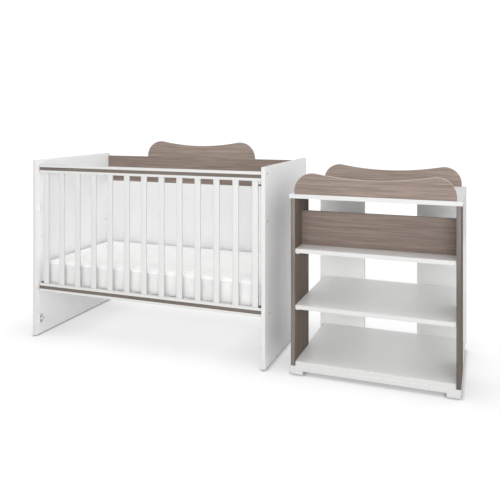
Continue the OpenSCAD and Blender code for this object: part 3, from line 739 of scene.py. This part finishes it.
def swell(core):
    rest = [v.co.copy() for v in core.data.vertices]
    cloth = core.modifiers.new("air", "CLOTH")
    cloth.settings.use_pressure = True
    cloth.settings.uniform_pressure_force = AIR_PRESSURE
    cloth.settings.effector_weights.gravity = 0.0
    cloth.point_cache.frame_start = 1
    cloth.point_cache.frame_end = SWELL_FRAMES
    for frame_number in range(1, SWELL_FRAMES + 1):
        bpy.context.scene.frame_set(frame_number)
    swollen = baked_mesh(core)
    core.modifiers.clear()
    for vert, start in zip(swollen.vertices, rest):
        move = vert.co - start
        if move.length > SWELL_CAP:
            vert.co = start + move.normalized() * SWELL_CAP
    core.data = swollen
    bpy.context.scene.frame_set(1)


swell(mattress)
print("mattress is", [round(size / MM) for size in mattress.dimensions], "mm")

# %% [markdown]
# ## Quilting
#
# The cover is sewn through to a thin layer of wadding along two sets of diagonal
# lines, and each line pulls a shallow groove between soft pads. The grooves could be
# a bump in the material, but then the edge of the mattress would stay straight, so
# the points themselves move. One level of subdivision first gives enough of them.
# Only the upper side is quilted, and the border stays plain.

# %% Sew the grooves
QUILT_PITCH = 78 * MM
GROOVE_WIDTH = 8 * MM
GROOVE_DEPTH = 3 * MM
PLAIN_BORDER = 22 * MM
WRINKLES_PER_METRE = 6.0
WRINKLE_HEIGHT = 0.8 * MM


def line_distance(value):
    """How far a place lies from the nearest of a set of lines, one every pitch."""
    part = value / QUILT_PITCH
    return abs(part - round(part)) * QUILT_PITCH


def groove(x, y):
    nearest = min(line_distance((x + y) / math.sqrt(2)), line_distance((x - y) / math.sqrt(2)))
    return math.exp(-((nearest / GROOVE_WIDTH) ** 2))


def quilt(piece):
    divide = piece.modifiers.new("finer", "SUBSURF")
    divide.levels = divide.render_levels = 1
    bake_modifiers(piece)
    bm = bmesh.new()
    bm.from_mesh(piece.data)
    bm.normal_update()
    middle = (MATTRESS_LOW + MATTRESS_HIGH) / 2
    for vert in bm.verts:
        if vert.normal.z > 0.5 and vert.co.z > middle.z:
            edge = min(vert.co.x - MATTRESS_LOW.x, MATTRESS_HIGH.x - vert.co.x,
                       vert.co.y - MATTRESS_LOW.y, MATTRESS_HIGH.y - vert.co.y)
            fade = min(max((edge - PLAIN_BORDER) / PLAIN_BORDER, 0.0), 1.0)
            wave = noise.noise(vert.co * WRINKLES_PER_METRE) * WRINKLE_HEIGHT
            vert.co.z += wave * fade - GROOVE_DEPTH * fade * groove(vert.co.x, vert.co.y)
        for i in range(3):
            vert.co[i] = min(max(vert.co[i], MATTRESS_LOW[i]), MATTRESS_HIGH[i])
    for face in bm.faces:
        face.smooth = True
    bm.to_mesh(piece.data)
    bm.free()


quilt(mattress)
print("mattress cover:", len(mattress.data.polygons), "faces")

# %% [markdown]
# ## The border
#
# The upright sides and their rounded edges are cut from a closer, less bright cloth than the
# quilted faces, and that lower white is partly painted shade on the steep faces. Which cloth a face
# gets follows from how steeply it stands, so no face has to be picked by hand. The finished
# mattress stands for the frame's plain one; foam fills most of its room.

# %% Border and hand-over of the mattress
# Faces steeper than this get the border cloth, whose lower white is partly painted shade.
PAINTED_SHADE_SLOPE = 0.85


def give_border_and_painted_shade(piece):
    piece.data.materials.clear()
    for fabric in (COVER_FABRIC, BORDER_FABRIC_AND_PAINTED_SHADE):
        piece.data.materials.append(fabric)
    for face in piece.data.polygons:
        face.material_index = 1 if abs(face.normal.z) < PAINTED_SHADE_SLOPE else 0


give_border_and_painted_shade(mattress)
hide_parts("mattress")
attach(mattress, BODY_OF["mattress"])
steep = sum(face.material_index for face in mattress.data.polygons)
print("border:", steep, "of", len(mattress.data.polygons), "faces")

# %% [markdown]
# ## Piping
#
# A cord in a strip of the cover's own fabric closes each long seam, round the top and
# round the bottom edge. It is a curve with a round section. Its points are found by
# looking inwards from outside at the height of the seam, so that the cord lies on
# the wall wherever the swelling put it, sunk a little into the cover. The upper seam
# lies lower by the height of the crown, which swells above the sides.

# %% Run the piping round both edges
PIPING_RADIUS = 2.6 * MM
SEAM_INSET = 9 * MM
CORNER_RADIUS = 30 * MM
CORNER_STEPS = 8
SIDE_STEPS = 30
CROWN_RISE = 5 * MM
LOOK_FROM = 50 * MM
SUNK_SHARE = 0.6


def seam_outline():
    """Places round the mattress's outline, each with the way that points outwards there."""
    half = (MATTRESS_HIGH - MATTRESS_LOW) / 2
    signs = ((1, 1), (-1, 1), (-1, -1), (1, -1))
    corners = [Vector((x * (half.x - CORNER_RADIUS), y * (half.y - CORNER_RADIUS), 0.0))
               for x, y in signs]
    for k, corner in enumerate(corners):
        for step in range(CORNER_STEPS + 1):
            turn = math.radians(90 * (k + step / CORNER_STEPS))
            way = Vector((math.cos(turn), math.sin(turn), 0.0))
            yield corner + way * CORNER_RADIUS, way
        following = corners[(k + 1) % 4]
        for step in range(1, SIDE_STEPS):
            yield corner.lerp(following, step / SIDE_STEPS) + way * CORNER_RADIUS, way


def seam_places(tree, height):
    centre = (MATTRESS_LOW + MATTRESS_HIGH) / 2
    centre.z = height
    for place, way in seam_outline():
        wall = tree.ray_cast(centre + place + way * LOOK_FROM, -way)[0]
        yield wall - way * PIPING_RADIUS * SUNK_SHARE


def piping(name, height):
    tree = BVHTree.FromObject(mattress, bpy.context.evaluated_depsgraph_get())
    places = list(seam_places(tree, height))
    curve = bpy.data.curves.new(name, "CURVE")
    curve.dimensions = "3D"
    curve.bevel_depth = PIPING_RADIUS
    curve.bevel_resolution = 3
    spline = curve.splines.new("POLY")
    spline.points.add(len(places) - 1)
    spline.use_cyclic_u = True
    for point, place in zip(spline.points, places):
        point.co = (*place, 1.0)
    cord = bpy.data.objects.new(name, curve)
    COLLECTION.objects.link(cord)
    mesh = baked_mesh(cord)
    bpy.data.objects.remove(cord)
    piece = bpy.data.objects.new(name, mesh)
    COLLECTION.objects.link(piece)
    for face in mesh.polygons:
        face.use_smooth = True
    mesh.materials.clear()
    mesh.materials.append(PIPING_FABRIC)
    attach(piece, BODY_OF["mattress"])
    return piece


for name, height in (
    ("mattress_piping_top", MATTRESS_HIGH.z - SEAM_INSET - CROWN_RISE),
    ("mattress_piping_bottom", MATTRESS_LOW.z + SEAM_INSET),
):
    piece = piping(name, height)
    print(name, len(piece.data.polygons), "faces")

# %% [markdown]
# ## Parts that keep their own shape
#
# Bolts, rods, nuts, dowels, brackets and the mattress base are right as they are in
# the frame. They only take their finish, which goes into their material slots.

# %% Finishes for the frame's own parts
FINISH_OF_SLOT = {
    "white_laminate": COT_LAMINATE,
    "stripe_decor": STRIPE_DECOR,
    "beech": BEECH,
    "white_paint": WHITE_PAINT,
    "steel": ZINC_STEEL,
    "white_steel": WHITE_COAT,
    "dark_steel": DARK_STEEL,
    "dark_plastic": DARK_PLASTIC,
    "white_plastic": WHITE_PLASTIC,
}
for node, obj in NODES.items():
    if not obj.hide_render and SLOT_OF[node] in FINISH_OF_SLOT:
        obj.data.materials.clear()
        obj.data.materials.append(FINISH_OF_SLOT[SLOT_OF[node]])
print("kept from the frame:", sum(not o.hide_render for o in NODES.values()), "nodes")

# %% [markdown]
# ## The studio floor
#
# To the camera, and in reflections, the floor is mostly plain white. Near the furniture a share of
# it stays a lit surface, which keeps the soft shadow, and that share fades out further off, so that
# no horizon shows. The white itself is darkened as well, as painted shadow, by how much of a floor
# point's view is blocked near by: over a forearm's length that is the painted soft shade under the
# cot, and over a finger's width it is the painted contact shadow, a thin line under a foot or a
# panel that makes things stand.

# %% Floor
FLOOR_SHADOW = 0.22
SHADOW_NEAR = 1.4
SHADOW_FAR = 2.8
CONTACT_REACH = 0.02
CONTACT_DARK = 0.0
SOFT_REACH = 0.28
SOFT_DARK = 0.55
FLOOR_WHITE = 1.09
FLOOR_GREY = 0.90
FLOOR_HALF = 30.0


def seen_directly(tree):
    """One for rays from the camera and through gloss or glass, and nought for light."""
    path = add_node(tree, "ShaderNodeLightPath")
    first = add_node(tree, "ShaderNodeMath", operation="MAXIMUM")
    second = add_node(tree, "ShaderNodeMath", operation="MAXIMUM")
    connect(
        tree,
        (path.outputs["Is Camera Ray"], first.inputs[0]),
        (path.outputs["Is Glossy Ray"], first.inputs[1]),
        (first.outputs[0], second.inputs[0]),
        (path.outputs["Is Transmission Ray"], second.inputs[1]),
    )
    return second.outputs[0]


def blocked(tree, reach, darkest):
    """One in the open, and down towards darkest where things near by block the view."""
    corner = add_node(tree, "ShaderNodeAmbientOcclusion", samples=12, Distance=reach)
    level = add_node(tree, "ShaderNodeMapRange")
    level.inputs["To Min"].default_value = darkest
    connect(tree, (corner.outputs["AO"], level.inputs["Value"]))
    return level.outputs["Result"]


def floor_material():
    material = bpy.data.materials.new("studio_floor")
    material.use_nodes = True
    tree = material.node_tree
    lit = tree.nodes["Principled BSDF"]
    lit.inputs["Base Color"].default_value = grey(FLOOR_GREY)
    lit.inputs["Roughness"].default_value = 0.9
    lit.inputs["Specular IOR Level"].default_value = 0.0
    white = add_node(tree, "ShaderNodeEmission", Color=grey(1.0), Strength=1.0)
    # The product of both reaches is the painted shadow on the glowing white.
    painted_floor_shadow = add_node(tree, "ShaderNodeMath", operation="MULTIPLY")
    level = add_node(tree, "ShaderNodeMath", operation="MULTIPLY")
    level.inputs[1].default_value = FLOOR_WHITE
    place = add_node(tree, "ShaderNodeTexCoord")
    distance = add_node(tree, "ShaderNodeVectorMath", operation="LENGTH")
    whiteness = add_node(tree, "ShaderNodeMapRange", interpolation_type="SMOOTHSTEP")
    whiteness.inputs["From Min"].default_value = SHADOW_NEAR
    whiteness.inputs["From Max"].default_value = SHADOW_FAR
    whiteness.inputs["To Min"].default_value = 1.0 - FLOOR_SHADOW
    whiteness.inputs["To Max"].default_value = 1.0
    share = add_node(tree, "ShaderNodeMath", operation="MULTIPLY")
    blend = add_node(tree, "ShaderNodeMixShader")
    connect(
        tree,
        (blocked(tree, CONTACT_REACH, CONTACT_DARK), painted_floor_shadow.inputs[0]),
        (blocked(tree, SOFT_REACH, SOFT_DARK), painted_floor_shadow.inputs[1]),
        (painted_floor_shadow.outputs[0], level.inputs[0]),
        (level.outputs[0], white.inputs["Strength"]),
        (place.outputs["Object"], distance.inputs[0]),
        (distance.outputs["Value"], whiteness.inputs["Value"]),
        (whiteness.outputs["Result"], share.inputs[1]),
        (seen_directly(tree), share.inputs[0]),
        (share.outputs[0], blend.inputs[0]),
        (lit.outputs[0], blend.inputs[1]),
        (white.outputs[0], blend.inputs[2]),
        (blend.outputs[0], tree.nodes["Material Output"].inputs["Surface"]),
    )
    return material


def make_floor():
    bm = bmesh.new()
    bmesh.ops.create_grid(bm, x_segments=1, y_segments=1, size=FLOOR_HALF)
    piece = finish_mesh(bm, "studio_floor", floor_material())


make_floor()
print("floor: white share near the furniture", 1.0 - FLOOR_SHADOW)

# %% [markdown]
# ## The world
#
# White furniture on a white ground only reads well in soft light from all round, so the
# world gives a good share of the light. To the camera, and in reflections, it is plain
# white. Light Path tells the two apart, and so the background doesn't have to be as
# bright as it looks.

# %% World
WORLD_LIGHT = 0.57


def set_world(light_level):
    world = bpy.data.worlds.new("studio_world")
    world.use_nodes = True
    tree = world.node_tree
    tree.nodes.clear()
    output = add_node(tree, "ShaderNodeOutputWorld")
    light = add_node(tree, "ShaderNodeBackground", Color=grey(1.0), Strength=light_level)
    seen = add_node(tree, "ShaderNodeBackground", Color=grey(1.0), Strength=1.0)
    pick = add_node(tree, "ShaderNodeMixShader")
    connect(
        tree,
        (seen_directly(tree), pick.inputs[0]),
        (light.outputs[0], pick.inputs[1]),
        (seen.outputs[0], pick.inputs[2]),
        (pick.outputs[0], output.inputs["Surface"]),
    )
    bpy.context.scene.world = world


set_world(WORLD_LIGHT)
print("world light", WORLD_LIGHT)

# %% [markdown]
# ## Lamps
#
# Two large lamps in front, no higher than a window and one of them to the right, shine
# into the shelves and through the slats, and one above lifts the mattress and the
# tops. Large discs give shadows without an edge, as big windows do. Each row gives a
# lamp's name, its place, the point that it looks at, its width and its watts.

# %% Lamps
LAMPS = (
    ("right_lamp", (2.2, -4.2, 1.4), (0.2, 0.0, 0.45), 3.0, 70.0),
    ("front_lamp", (0.2, -5.0, 1.2), (0.0, 0.0, 0.45), 3.5, 76.0),
    ("top_lamp", (0.2, 0.0, 4.2), (0.2, 0.0, 0.4), 3.5, 46.0),
)


def add_lamp(name, place, target, size, watts):
    data = bpy.data.lights.new(name, "AREA")
    data.shape = "DISK"
    data.size = size
    data.energy = watts
    lamp = bpy.data.objects.new(name, data)
    lamp.location = place
    aim = Vector(target) - Vector(place)
    lamp.rotation_euler = aim.to_track_quat("-Z", "Y").to_euler()
    COLLECTION.objects.link(lamp)


for lamp in LAMPS:
    add_lamp(*lamp)
print("lamps:", [row[0] for row in LAMPS])
